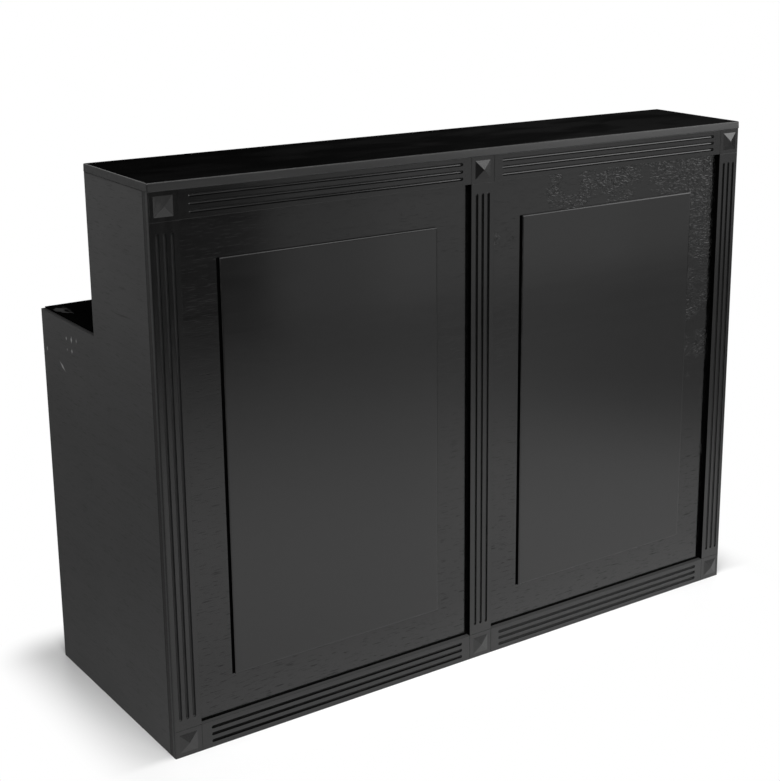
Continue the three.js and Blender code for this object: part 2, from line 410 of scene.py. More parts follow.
@dataclass(frozen=True, kw_only=True)
class DullRim(Cover):
    """The narrow faces of a board, where cut wood soaks up the paint and leaves it dull; made near-black
    on the stiles and raised panels, it is painted shade on their returns.
    """

    outline: Outline
    paint: float = 0.009
    roughness: float = 0.60
    specular: float = 0.24
    uneven: float = 0.2
    fade: float = 1.0 * MM

    def where(self, sheet: Sheet) -> Value:
        """Give 1 on the narrow faces."""
        return 1.0 - sheet.step(self.outline.rim(sheet), 0.0, self.fade)


@dataclass(frozen=True, kw_only=True)
class LedgeDust(Cover):
    """Fine dust that has settled on the upward face of a low rail."""

    top: float
    paint: float = 0.034
    roughness: float = 0.9
    spread: float = 0.3
    patch: Pattern = Pattern.even(2 * MM, 3.0)
    fade: float = 0.4 * MM

    def where(self, sheet: Sheet) -> Value:
        """Give 1 on the upward face."""
        return sheet.step(sheet.axes[2], self.top - self.fade, self.top)


@dataclass(frozen=True, kw_only=True)
class DullCorner(Cover):
    """Painted shade on the field: a near-black, dull strip beside the left edges of the raised panels."""

    panels: tuple[Box, Box]
    face: float
    paint: float = 0.001
    roughness: float = 0.7
    width: float = 5.0 * MM
    fade: float = 0.5 * MM

    def where(self, sheet: Sheet) -> Value:
        """Give 1 beside the panels.

        Args:
            sheet: The finish.

        Returns:
            A value from 0 to 1.
        """
        x, y, z = sheet.axes
        left, right = (
            to_faces(x, low.x - self.width, high.x).least(to_faces(z, low.z, high.z))
            for low, high in self.panels
        )
        return sheet.step(left.most(right).least(self.face + MM - y), 0.0, self.fade)


@dataclass(frozen=True, kw_only=True)
class DullBack(Cover):
    """The back of the field, painted as dull as the rest of the bar's inside."""

    back: float
    paint: float = 0.008
    roughness: float = 0.55
    specular: float = 0.35
    spread: float = 0.3
    uneven: float = 0.2
    patch: Pattern = Pattern(120 * MM, 6 * MM, 3.0, 0.3)
    fade: float = 0.4 * MM

    def where(self, sheet: Sheet) -> Value:
        """Give 1 on the back."""
        return sheet.step(sheet.axes[1], self.back - self.fade, self.back)


@dataclass(frozen=True, kw_only=True)
class ThinFlutes(Cover):
    """Painted light in the flutes of a frame board: a lighter, duller paint down in the grooves."""

    face: float
    roughness: float = 0.5
    specular: float = 0.4
    spread: float = 0.3
    depth: Pair = (0.6 * MM, 2.0 * MM)

    def where(self, sheet: Sheet) -> Value:
        """Give 1 down in the flutes."""
        return sheet.step(sheet.axes[1] - self.face, *self.depth)


@dataclass(frozen=True)
class Scuff:
    """A scratch on a wing's outer face, thin at both ends, from one depth and height to another."""

    start: Pair
    end: Pair
    width: float
    level: float

    SOFT = 0.8

    def mask(self, sheet: Sheet, face: float) -> Value:
        """Show where the scratch is.

        Args:
            sheet: The finish.
            face: Where the wing's outer face is.

        Returns:
            A value that is 1 on the scratch's line.
        """
        x, y, z = sheet.axes
        run = Vector(self.end) - Vector(self.start)
        along_y, along_z = run.normalized()
        off_y, off_z = y - self.start[0], z - self.start[1]
        along = (off_y * along_y + off_z * along_z) * (1.0 / run.length)
        aside = abs(off_y * along_z - off_z * along_y) * (1.0 / self.width)
        swell = to_faces(along, 0.0, 1.0) * 2.0
        return sheet.step(swell - aside, 0.0, self.SOFT) * sheet.before(x, face)


def weigh(patterns: dict[str, Value], weights: dict[str, float], start: float) -> Value:
    """Add patterns to a starting number, each by its weight."""
    return sum((patterns[name] * weight for name, weight in weights.items()), start)


@dataclass(frozen=True)
class PaintedWood:
    """Black satin paint over wood, with its grain showing and its edges rubbed."""

    paint: float
    gloss: float
    grain_depth: float
    pore_share: float
    streak: float = 0.35
    ridge: float = 0.0
    open_pores: float = 0.0
    rubbed: float = 0.03
    rubbed_width: float = 2.2 * MM
    specular: float = 0.5

    PATTERNS = {
        "streak": Pattern(260 * MM, 14 * MM, 3.0, 0.4),
        "fibre": Pattern(60 * MM, 2.4 * MM, 3.0, 0.3),
        "cloud": Pattern.even(160 * MM),
        "peel": Pattern.even(1.6 * MM, 1.0),
    }
    TONE = {"streak": 1.6, "fibre": 0.6, "pore": -0.4}
    GLOSS = {"streak": 0.10, "cloud": 0.08, "pore": 0.12, "rub": 0.10}
    HEIGHT = {"streak": 0.4, "fibre": 0.45, "peel": 0.06, "pore": -0.8}

    PORE = Pattern(26 * MM, 2.0 * MM, 1.0, 0.5)
    PORE_FROM = (0.60, 0.72)
    PORE_HEIGHTS = (0.15, 0.75)
    PORE_LOSS = 0.85
    PORE_ROUGHNESS = 0.8

    RUB = Pattern.even(22 * MM, 4.0)
    RUB_FROM = (0.42, 0.66)
    RUB_EDGE = 0.2 * MM
    RUB_COVER = 0.6

    WORM = Pattern(13 * MM, 10 * MM, 1.0, 1.2)
    WORM_WIDTH = 0.10
    WORM_PATCH = Pattern.even(70 * MM)
    WORM_PATCH_FROM = (1.12, 1.32)
    WORM_RIGHT = 0.6
    WORM_UP = 0.5

    def material(
        self,
        name: str,
        grain: Grain,
        outline: Outline,
        scuffs: tuple[Scuff, ...] = (),
        covers: tuple[Cover, ...] = (),
    ) -> Material:
        """Make the finish of one board.

        Args:
            name: The material's name.
            grain: The way the board's grain runs.
            outline: The board's outline, for its rubbed edges.
            scuffs: Scratches on it.
            covers: What lies over the paint on some of its faces.

        Returns:
            The material.
        """
        sheet = Sheet(name)
        pore = sheet.step(sheet.noise(self.PORE, grain), *self.PORE_FROM) * self.pore_share
        rub = 1.0 - sheet.step(outline.edge(sheet), self.RUB_EDGE, self.rubbed_width)
        rub = rub * sheet.step(sheet.noise(self.RUB), *self.RUB_FROM)
        patterns = {key: sheet.noise(pattern, grain) - 0.5 for key, pattern in self.PATTERNS.items()}
        patterns |= {"pore": pore, "rub": rub}
        colour = sheet.mottle(weigh(patterns, self.TONE, 0.5), self.paint, self.streak)
        colour = sheet.blend(rub * self.RUB_COVER, colour, self.rubbed)
        for scuff in scuffs:
            colour = sheet.blend(scuff.mask(sheet, outline.box[0].x), colour, scuff.level)
        height = weigh(patterns, self.HEIGHT, 0.0)
        if self.ridge:
            height = height + self.worms(sheet, grain, outline.box[0].y) * self.ridge
        surface = sheet.paint(
            Base_Color=colour,
            Roughness=weigh(patterns, self.GLOSS, self.gloss),
            Normal=sheet.relief(height, self.grain_depth),
            Specular_IOR_Level=self.specular,
        )
        if self.open_pores:
            hollow = sheet.paint(Base_Color=colour, Roughness=self.PORE_ROUGHNESS, Specular_IOR_Level=0.0)
            low_down = 1.0 - sheet.step(sheet.axes[2], *self.PORE_HEIGHTS) * self.PORE_LOSS
            surface = sheet.mix(pore * low_down * self.open_pores, surface, hollow)
        for cover in covers:
            surface = cover.cover(sheet, surface)
        return sheet.close(surface)

    def worms(self, sheet: Sheet, grain: Grain, face: float) -> Value:
        """Raise short winding ridges in patches, most of them towards the right-hand end and the top.

        Args:
            sheet: The finish.
            grain: The way the board's grain runs.
            face: Where the board's front face is.

        Returns:
            Their height, from 0 to 1.
        """
        x, y, z = sheet.axes
        line = abs(sheet.noise(self.WORM, grain) - 0.5)
        ridge = 1.0 - sheet.step(line, 0.0, self.WORM_WIDTH)
        patch = sheet.noise(self.WORM_PATCH) + x * self.WORM_RIGHT + z * self.WORM_UP
        return ridge * sheet.step(patch, *self.WORM_PATCH_FROM) * sheet.before(y, face)


@dataclass(frozen=True)
class Smear:
    """A dried smear on a top."""

    centre: Pair
    reach: Pair
    level: float = 0.040

    RAGGED = Pattern(30 * MM, 16 * MM, 4.0, 1.0)
    RAGGEDNESS = 4.0
    RISE = (0.2, 1.0)

    def mask(self, sheet: Sheet) -> Value:
        """Show where the smear is.

        Args:
            sheet: The finish.

        Returns:
            A value from 0 to 1.
        """
        off_x, off_y = (
            (axis - middle) * (1.0 / reach)
            for axis, middle, reach in zip(sheet.axes, self.centre, self.reach)
        )
        ragged = (sheet.noise(self.RAGGED, Grain.DEEP) - 0.5) * self.RAGGEDNESS
        return sheet.step(1.0 - off_x * off_x - off_y * off_y + ragged, *self.RISE)


@dataclass(frozen=True)
class MattTop:
    """A deep black matt surface with faint marks of wiping and a painted sheen that lightens it towards
    its right-hand end.
    """

    black: float
    wiped: float
    bright_end: float = 0.75

    CLOUD = Pattern(190 * MM, 70 * MM, 4.0, 0.6)
    DUST = Pattern.even(3 * MM)
    DUST_TONE = 0.3
    DUST_HEIGHT = 0.5
    WIPE_FROM = (0.36, 0.68)
    WIPE_TONE = 0.7
    END_TONE = 0.5
    HAZE_FROM = (0.40, 0.72)
    HAZE_TONE = 0.2
    ROUGHNESS = 0.82
    UNEVEN = 0.2
    RELIEF = 0.03 * MM

    def material(self, name: str, smear: Smear | None = None) -> Material:
        """Make the finish.

        Args:
            name: The material's name.
            smear: A dried smear on it.

        Returns:
            The material.
        """
        sheet = Sheet(name)
        cloud = sheet.noise(self.CLOUD)
        dust = sheet.noise(self.DUST)
        # Painted sheen: the top turns lighter towards its right-hand end
        end = sheet.step(sheet.axes[0], -self.bright_end, self.bright_end)
        wipes_and_sheen = (sheet.step(cloud, *self.WIPE_FROM) * self.WIPE_TONE + self.END_TONE) * end
        haze = sheet.step(cloud, *self.HAZE_FROM) * self.HAZE_TONE
        share = wipes_and_sheen + haze + (dust - 0.5) * self.DUST_TONE
        colour = sheet.blend(share, self.black, self.wiped)
        if smear is not None:
            colour = sheet.blend(smear.mask(sheet), colour, smear.level)
        return sheet.close(sheet.paint(
            Base_Color=colour,
            Roughness=self.ROUGHNESS + (cloud - 0.5) * self.UNEVEN,
            Normal=sheet.relief(dust * self.DUST_HEIGHT + cloud, self.RELIEF),
            Specular_IOR_Level=0.0,
        ))


@dataclass(frozen=True)
class LacqueredSteel:
    """Black lacquer on pressed steel, rubbed bright on the edges."""

    lacquer: float = 0.012
    steel: float = 0.35
    gloss: float = 0.32

    PEEL = Pattern.even(0.9 * MM)
    PEEL_SPREAD = 0.2
    PEEL_GLOSS = 0.12
    PEEL_DEPTH = 0.02 * MM
    CHIPS = Pattern.even(5 * MM, 5.0)
    CHIPS_FROM = (0.5, 0.62)
    CHIPS_GLOSS = 0.08
    CHIPPED_EDGE = (0.1 * MM, 0.9 * MM)

    def material(self, name: str, outline: Outline) -> Material:
        """Make the finish.

        Args:
            name: The material's name.
            outline: The leaf's outline, for its rubbed edges.

        Returns:
            The material.
        """
        sheet = Sheet(name)
        peel = sheet.noise(self.PEEL)
        edge = 1.0 - sheet.step(outline.edge(sheet), *self.CHIPPED_EDGE)
        rub = edge * sheet.step(sheet.noise(self.CHIPS), *self.CHIPS_FROM)
        lacquer = sheet.mottle(peel, self.lacquer, self.PEEL_SPREAD)
        return sheet.close(sheet.paint(
            Base_Color=sheet.blend(rub, lacquer, self.steel),
            Metallic=rub,
            Roughness=self.gloss + (peel - 0.5) * self.PEEL_GLOSS + rub * self.CHIPS_GLOSS,
            Normal=sheet.relief(peel, self.PEEL_DEPTH),
        ))


@dataclass(frozen=True)
class BareSteel:
    """Plated steel with fine turning marks."""

    steel: float
    gloss: float

    TURNED = Pattern(0.25 * MM, 6 * MM)
    TURNED_GLOSS = 0.1
    TURNED_DEPTH = 0.01 * MM
    STAIN = Pattern.even(8 * MM, 3.0)
    STAIN_TONES = (0.75, 1.15)
    STAIN_GLOSS = 0.15

    def material(self, name: str) -> Material:
        """Make the finish.

        Args:
            name: The material's name.

        Returns:
            The material.
        """
        sheet = Sheet(name)
        turned = sheet.noise(self.TURNED, Grain.UPRIGHT)
        stain = sheet.noise(self.STAIN)
        dark, light = (self.steel * tone for tone in self.STAIN_TONES)
        gloss = self.gloss + (stain - 0.5) * self.STAIN_GLOSS + (turned - 0.5) * self.TURNED_GLOSS
        return sheet.close(sheet.paint(
            Base_Color=sheet.blend(stain, dark, light),
            Metallic=1.0,
            Roughness=gloss,
            Normal=sheet.relief(turned, self.TURNED_DEPTH),
        ))


FRAME_PAINT = PaintedWood(
    paint=0.0016, gloss=0.17, grain_depth=0.06 * MM, pore_share=0.4, streak=0.6,
    rubbed=0.012, rubbed_width=1.1 * MM,
)
FIELD_PAINT = replace(
    FRAME_PAINT, gloss=0.14, grain_depth=0.07 * MM, pore_share=0.7, ridge=4.2, open_pores=0.7,
)
PANEL_PAINT = PaintedWood(paint=0.0030, gloss=0.14, grain_depth=0.012 * MM, pore_share=0.05, streak=0.15)
WING_PAINT = PaintedWood(paint=0.0225, gloss=0.60, grain_depth=0.12 * MM, pore_share=0.6, specular=0.28)
INSIDE_PAINT = PaintedWood(paint=0.0090, gloss=0.60, grain_depth=0.15 * MM, pore_share=0.5)
RIM_PAINT = PaintedWood(paint=0.0090, gloss=0.32, grain_depth=0.05 * MM, pore_share=0.1, streak=0.2)
COUNTER_MATT = MattTop(black=0.0014, wiped=0.0080)
WORKTOP_MATT = MattTop(black=0.0014, wiped=0.0030)
HINGE_LACQUER = LacqueredSteel()
PIN_STEEL = BareSteel(steel=0.42, gloss=0.32)
SCREW_STEEL = BareSteel(steel=0.10, gloss=0.38)

# The frame boards whose flutes are painted lighter, a painted light in their grooves, with the level
# painted there
FLUTE_PAINTED_LIGHT = {"left_stile": 0.008, "bottom_right_rail": 0.004}


def coat(node: str, material: Material) -> None:
    """Give a node of the frame its finish.

    Args:
        node: The node's name.
        material: Its finish.
    """
    for slot in frame["nodes"][node].material_slots:
        slot.material = material
    log.info("dressed %s", node)


def paint_inside(node: str, grain: Grain) -> None:
    """Paint a hidden board, whose grain runs the given way, like the rest of the inside."""
    coat(node, INSIDE_PAINT.material(node + "_paint", grain, BoardOutline(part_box(node))))


def start_box(low: Vector, high: Vector) -> BMesh:
    """Start a shape as a plain box.

    Args:
        low: Its lowest corner.
        high: Its highest corner.

    Returns:
        The shape.
    """
    bm = bmesh.new()
    size = Matrix.Diagonal((*(high - low), 1.0))
    bmesh.ops.create_cube(bm, size=1.0, matrix=Matrix.Translation((low + high) / 2) @ size)
    return bm


def round_edges(bm: BMesh, edges: list[BMEdge], radius: float, segments: int) -> None:
    """Round edges of a shape.

    Args:
        bm: The shape.
        edges: Its edges to round.
        radius: Their radius.
        segments: How many flats make up the round.
    """
    bmesh.ops.bevel(
        bm, geom=edges, offset=radius, offset_type="OFFSET", segments=segments, profile=0.5,
        affect="EDGES", clamp_overlap=True, material=-1,
    )


def score(bm: BMesh, faces: list[BMFace], point: Vector, way: Vector) -> None:
    """Cut faces along a line.

    Args:
        bm: The shape.
        faces: Its faces to cut.
        point: A point on the line.
        way: The way at right angles to the line.
    """
    edges = dict.fromkeys(edge for face in faces for edge in face.edges)
    verts = dict.fromkeys(vert for face in faces for vert in face.verts)
    bmesh.ops.bisect_plane(bm, geom=[*faces, *edges, *verts], plane_co=point, plane_no=way)


def add_piece(
    name: str,
    bm: BMesh,
    body: str,
    materials: list[Material],
    shading: Shading = Shading.ROUNDED,
) -> Object:
    """Turn a finished bmesh into a piece that rides on a body.

    Args:
        name: The piece's name.
        bm: Its shape, in the bar's own frame; it is freed.
        body: The body that carries it.
        materials: Its finishes, in the order of its faces' indices.
        shading: How its edges look.

    Returns:
        The piece.
    """
    mesh = bpy.data.meshes.new(name)
    for face in bm.faces:
        face.smooth = shading is Shading.ROUNDED
    bm.to_mesh(mesh)
    bm.free()
    for material in materials:
        mesh.materials.append(material)
    piece = bpy.data.objects.new(name, mesh)
    bpy.context.scene.collection.objects.link(piece)
    if shading is Shading.ROUNDED:
        piece.modifiers.new("even_normals", "WEIGHTED_NORMAL")
    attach(piece, body)
    log.info("built %s on %s", name, body)
    return piece


@dataclass
class RosetteBlock:
    """A block where a stile meets a rail, with a low pyramid that rises straight from its face."""

    node: str
    pyramid: float = 39.0 * MM
    eased: float = 0.4 * MM
    eased_segments: int = 2
    corner_radius: float = 3.0 * MM
    corner_segments: int = 4

    def build(self, paint: Material) -> None:
        """Shape the block and let it stand for the plain one.

        Args:
            paint: Its finish.
        """
        tip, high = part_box(self.node)
        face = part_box("centre_stile")[0].y
        low = Vector((tip.x, face, tip.z))
        centre = (low + high) / 2
        bm = start_box(low, high)
        round_edges(bm, self.outer_corner(bm), self.corner_radius, self.corner_segments)
        corner = self.outer_corner(bm)
        border = [edge for edge in self.front(bm)[0].edges if edge not in corner]
        round_edges(bm, border, self.eased, self.eased_segments)
        for axis in (X_AXIS, Z_AXIS):
            for way in (-1.0, 1.0):
                score(bm, self.front(bm), centre + axis * (way * self.pyramid / 2), axis)
        square = min(self.front(bm), key=lambda f: (f.calc_center_median().xz - centre.xz).length)
        bmesh.ops.poke(bm, faces=[square], offset=face - tip.y)
        name = self.node.removesuffix("_block")
        block = add_piece(name, bm, "front_panel", [paint], Shading.CRISP)
        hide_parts(self.node)

    def outer_corner(self, bm: BMesh) -> list[BMEdge]:
        """List the edge of the block's face that runs along an end of the panel, if it has one.

        Args:
            bm: The block.

        Returns:
            The edge, or nothing.
        """
        low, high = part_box("backing_board")
        near = self.corner_radius + TOLERANCE
        return [
            edge for edge in self.front(bm)[0].edges
            if all(min(vert.co.x - low.x, high.x - vert.co.x) < near for vert in edge.verts)
        ]

    @staticmethod
    def front(bm: BMesh) -> list[BMFace]:
        """List the faces that look to the front."""
        bm.normal_update()
        return [face for face in bm.faces if face.normal.y < -FACING]


@dataclass
class FrontPanel:
    """The framed front: fluted stiles and rails, rosette blocks, field, raised panels, hinge battens."""

    field: str = "backing_board"
    columns: tuple[str, ...] = ("left", "centre", "right")
    bays: tuple[str, ...] = ("left", "right")
    rows: tuple[str, ...] = ("top", "bottom")

    def build(self) -> None:
        """Shape the rosette blocks."""
        for row in self.rows:
            for column in self.columns:
                node = f"{row}_{column}_rosette_block"
                RosetteBlock(node).build(self.finish(node, FRAME_PAINT, Grain.UPRIGHT))

    def dress(self) -> None:
        """Paint every board of the panel along its own grain."""
        for column in self.columns:
            self.paint(f"{column}_stile", FRAME_PAINT, Grain.UPRIGHT)
        for row in self.rows:
            for bay in self.bays:
                self.paint(f"{row}_{bay}_rail", FRAME_PAINT, Grain.ACROSS)
        self.paint(self.field, FIELD_PAINT, Grain.ACROSS)
        for bay in self.bays:
            self.paint(f"{bay}_raised_panel", PANEL_PAINT, Grain.ACROSS)
            self.paint(f"{bay}_hinge_batten", INSIDE_PAINT, Grain.UPRIGHT)

    def paint(self, node: str, finish: PaintedWood, grain: Grain) -> None:
        """Paint one board."""
        coat(node, self.finish(node, finish, grain))

    def finish(self, node: str, finish: PaintedWood, grain: Grain) -> Material:
        """Mix the paint of one board, with what lies over it."""
        outline = BoardOutline(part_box(node))
        return finish.material(node + "_paint", grain, outline, covers=self.covers(node))

    def covers(self, node: str) -> tuple[Cover, ...]:
        """List what lies over the paint of one board.

        Args:
            node: The board's node.

        Returns:
            Painted light in some flutes, dull paint on cut edges and hidden faces, painted shade on the
            returns and beside the raised panels, and dust on a low rail.
        """
        low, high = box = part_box(node)
        end_low, end_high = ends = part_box(self.field)
        covers: list[Cover] = []
        # Painted light: the flutes of these boards get a lighter paint
        if node in FLUTE_PAINTED_LIGHT:
            covers.append(ThinFlutes(face=low.y, paint=FLUTE_PAINTED_LIGHT[node]))
        if node.endswith(("stile", "raised_panel")):
            # Painted shade: near-black, unreflecting narrow faces on the returns of the stiles and raised
            # panels
            covers.append(DullRim(outline=BoardOutline(box), paint=0.001, specular=0.0, fade=0.5 * MM))
        if node == self.field:
            left, right = (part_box(f"{bay}_raised_panel") for bay in self.bays)
            # Painted shade: a near-black strip on the field beside the raised panels' left edges
            covers.append(DullCorner(panels=(left, right), face=low.y))
            covers.append(DullRim(outline=BoardOutline(ends), paint=0.008, specular=0.15))
            covers.append(DullBack(back=high.y))
        elif low.x < end_low.x + MM or high.x > end_high.x - MM:
            covers.append(DullRim(outline=BoardOutline(ends), paint=0.015))
        if node.startswith("bottom") and node.endswith("rail"):
            covers.append(LedgeDust(top=high.z))
        return tuple(covers)


@dataclass
class Wing:
    """A stepped wing and the cleat on its inner face."""

    side: Side
    step_depth: float = 7.0 * MM
    step_height: float = 803.7 * MM
    scuffs: tuple[Scuff, ...] = ()

    def dress(self) -> None:
        """Paint the wing and its cleat."""
        wing = f"{self.side.word}_wing"
        outline = SteppedOutline(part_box(wing), self.step_depth, self.step_height)
        rim = DullRim(outline=outline, specular=0.06)
        coat(wing, WING_PAINT.material(wing + "_paint", Grain.DEEP, outline, self.scuffs, (rim,)))
        paint_inside(f"{self.side.word}_worktop_cleat", Grain.DEEP)


@dataclass
class ScrewHead:
    """A countersunk screw head with a cross recess, its face at the origin and its axis up."""

    radius: float = 3.0 * MM
    neck: float = 1.45 * MM
    height: float = 1.5 * MM
    cross_width: float = 0.8 * MM
    cross_length: float = 3.4 * MM
    cross_depth: float = 0.8 * MM
    segments: int = 20

    def add(self, bm: BMesh, place: Matrix) -> None:
        """Add a head to a bmesh.

        Args:
            bm: The bmesh.
            place: Where the head's face is, with its axis along Z.
        """
        made = bmesh.ops.create_cone(
            bm, cap_ends=True, segments=self.segments, radius1=self.neck, radius2=self.radius,
            depth=self.height, matrix=Matrix.Translation((0.0, 0.0, -self.height / 2)),
        )
        before = set(bm.verts) - set(made["verts"])
        for axis in (X_AXIS, Y_AXIS):
            for reach in (self.cross_width / 2, self.cross_length / 2):
                for way in (-1.0, 1.0):
                    bm.normal_update()
                    score(bm, self.own_faces(bm, before), axis * (way * reach), axis)
        cross = [face for face in self.own_faces(bm, before) if self.in_cross(face)]
        sunk = bmesh.ops.extrude_face_region(bm, geom=cross)["geom"]
        verts = [item for item in sunk if isinstance(item, BMVert)]
        bmesh.ops.translate(bm, verts=verts, vec=(0.0, 0.0, -self.cross_depth))
        bmesh.ops.delete(bm, geom=[face for face in cross if face.is_valid], context="FACES")
        own = [vert for vert in bm.verts if vert not in before]
        bmesh.ops.transform(bm, matrix=place, verts=own)

    @staticmethod
    def own_faces(bm: BMesh, before: set[BMVert]) -> list[BMFace]:
        """List the upward faces that have none of the vertices from before."""
        return [f for f in bm.faces if f.normal.z > FACING and not any(v in before for v in f.verts)]

    def in_cross(self, face: BMFace) -> bool:
        """Tell whether a face of the head belongs to the cross recess."""
        near, far = sorted(abs(off) for off in face.calc_center_median().xy)
        return near < self.cross_width / 2 and far < self.cross_length / 2


@dataclass
class WingHinges:
    """The three butt hinges of one wing and the screws in their leaves."""

    side: Side
    heights: tuple[str, ...] = ("lower", "middle", "upper")
    leaf_thickness: float = 2.0 * MM
    outer_screw: Pair = (19.0 * MM, 25.0 * MM)
    middle_screw: float = 15.8 * MM
    screw_sink: float = 0.15 * MM

    def build(self) -> None:
        """Drive the screws of both leaves."""
        wing = f"{self.side.word}_wing"
        fold = next(joint for joint in frame["joints"] if joint["name"] == wing + "_fold")
        axis = Vector(fold["pos_m"])
        inward = X_AXIS * -self.side.value
        self.drive("panel", "front_panel", axis - Y_AXIS * self.leaf_thickness, inward, Y_AXIS)
        self.drive("wing", wing, axis - inward * self.leaf_thickness, Y_AXIS, inward)

    def drive(self, leaf: str, body: str, face: Vector, out: Vector, facing: Vector) -> None:
        """Put three screws into each leaf of one kind.

        Args:
            leaf: The kind of leaf.
            body: The body that carries it.
            face: A point of the leaf's visible face beside the pin.
            out: The way from the pin along the leaf.
            facing: The way the leaf's visible face looks.
        """
        bm = bmesh.new()
        turn = facing.to_track_quat("Z", "Y").to_matrix().to_4x4()
        outer, rise = self.outer_screw
        spots = ((outer, rise), (outer, -rise), (self.middle_screw, 0.0))
        for height in self.heights:
            low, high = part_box(f"{self.side.word}_{height}_hinge_pin")
            middle = (low.z + high.z) / 2
            for along, up in spots:
                place = face + out * along - facing * self.screw_sink
                place.z = middle + up
                ScrewHead().add(bm, Matrix.Translation(place) @ turn)
        name = f"{self.side.word}_{leaf}_leaf_screws"
        add_piece(name, bm, body, [SCREW_STEEL.material(name + "_steel")])

    def dress(self) -> None:
        """Lacquer the leaves and leave the pins bright."""
        for height in self.heights:
            hinge = f"{self.side.word}_{height}_hinge"
            for leaf in ("panel_leaf", "wing_leaf"):
                node = f"{hinge}_{leaf}"
                coat(node, HINGE_LACQUER.material(node + "_lacquer", BoardOutline(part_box(node))))
            coat(f"{hinge}_pin", PIN_STEEL.material(f"{hinge}_pin_steel"))


@dataclass
class Worktop:
    """The worktop on the rear step: a board under a thin hard surface."""

    smear: Smear = Smear((-0.722, 0.226), (0.018, 0.040))

    def dress(self) -> None:
        """Paint the board and finish the surface."""
        paint_inside("worktop_board", Grain.ACROSS)
        coat("worktop_surface", WORKTOP_MATT.material("worktop_laminate", self.smear))


@dataclass
class Counter:
    """The counter slab with its rounded edges, and the cleat under it."""

    corner_radius: float = 3.0 * MM
    top_radius: float = 2.0 * MM
    under_radius: float = 1.0 * MM
    lean: float = 1.4 * MM
    corner_segments: int = 6
    top_segments: int = 5
    under_segments: int = 3

    def build(self) -> None:
        """Round a slab to the counter's shape and let it stand for the plain one."""
        low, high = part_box("counter_top")
        bm = start_box(low, high)
        middle = (low.y + high.y) / 2
        for vert in bm.verts:
            if vert.co.z > low.z + MM:
                vert.co.y += self.lean if vert.co.y < middle else -self.lean
        upright = [edge for edge in bm.edges if abs(edge.verts[0].co.z - edge.verts[1].co.z) > MM]
        round_edges(bm, upright, self.corner_radius, self.corner_segments)
        round_edges(bm, self.rim(bm, high.z), self.top_radius, self.top_segments)
        round_edges(bm, self.rim(bm, low.z), self.under_radius, self.under_segments)
        bm.normal_update()
        for face in bm.faces:
            face.material_index = 1 if face.normal.z > FACING else 0
        outline = BoardOutline((low, high))
        rim = DullRim(outline=outline)
        edge = RIM_PAINT.material("counter_edge_paint", Grain.ACROSS, outline, covers=(rim,))
        materials = [edge, COUNTER_MATT.material("counter_matt")]
        slab = add_piece("counter_slab", bm, "counter", materials)
        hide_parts("counter_top")

    @staticmethod
    def rim(bm: BMesh, level: float) -> list[BMEdge]:
        """List the edges that lie at one level."""
        return [e for e in bm.edges if all(abs(v.co.z - level) < TOLERANCE for v in e.verts)]

    def dress(self) -> None:
        """Paint the cleat."""
        paint_inside("counter_cleat", Grain.ACROSS)


@dataclass(frozen=True)
class Softbox:
    """A rectangular studio light."""

    name: str
    position: Triple
    target: Triple
    size: Pair
    radiance: float
    spread: float = 180.0

    def build(self) -> None:
        """Hang the light and aim it."""
        light = bpy.data.lights.new(self.name, "AREA")
        light.shape = "RECTANGLE"
        light.size, light.size_y = self.size
        light.spread = math.radians(self.spread)
        light.energy = self.radiance * math.pi * math.prod(self.size) * self.grid_share()
        lamp = bpy.data.objects.new(self.name, light)
        aim = Vector(self.target) - Vector(self.position)
        turn = aim.to_track_quat("-Z", "Y").to_matrix().to_4x4()
        lamp.matrix_world = Matrix.Translation(self.position) @ turn
        lamp.visible_camera = False
        bpy.context.scene.collection.objects.link(lamp)

    def grid_share(self) -> float:
        """Give the share of the light that a grid of this spread lets through."""
        half = math.radians(self.spread) / 2
        return 1.0 if self.spread >= 180.0 else 1.0 - half / math.tan(half)


@dataclass(frozen=True)
class PhotoCamera:
    """The photograph's camera, fitted to the bar's modelled sizes."""

    position: Triple = (-1.9163, -2.8279, 1.6241)
    azimuth: float = -37.048
    elevation: float = 15.019
    roll: float = 0.3705
    focal_pixels: float = 1555.64
    centre_pixels: Pair = (486.19, 326.51)
    image_pixels: tuple[int, int] = (780, 781)
    sensor_width: float = 36.0

    def build(self) -> None:
        """Set the camera up and make it the scene's own."""
        turns = ((self.azimuth, "Z"), (90.0 - self.elevation, "X"), (self.roll, "Z"))
        around, tilt, roll = (Matrix.Rotation(math.radians(angle), 4, axis) for angle, axis in turns)
        width, height = self.image_pixels
        data = bpy.data.cameras.new("photo_camera")
        data.sensor_fit = "HORIZONTAL"
        data.sensor_width = self.sensor_width
        data.lens = self.focal_pixels / width * self.sensor_width
        data.shift_x = (width / 2 - self.centre_pixels[0]) / width
        data.shift_y = (self.centre_pixels[1] - height / 2) / width
        camera = bpy.data.objects.new("photo_camera", data)
        camera.matrix_world = Matrix.Translation(self.position) @ around @ tilt @ roll
        bpy.context.scene.collection.objects.link(camera)
        bpy.context.scene.camera = camera


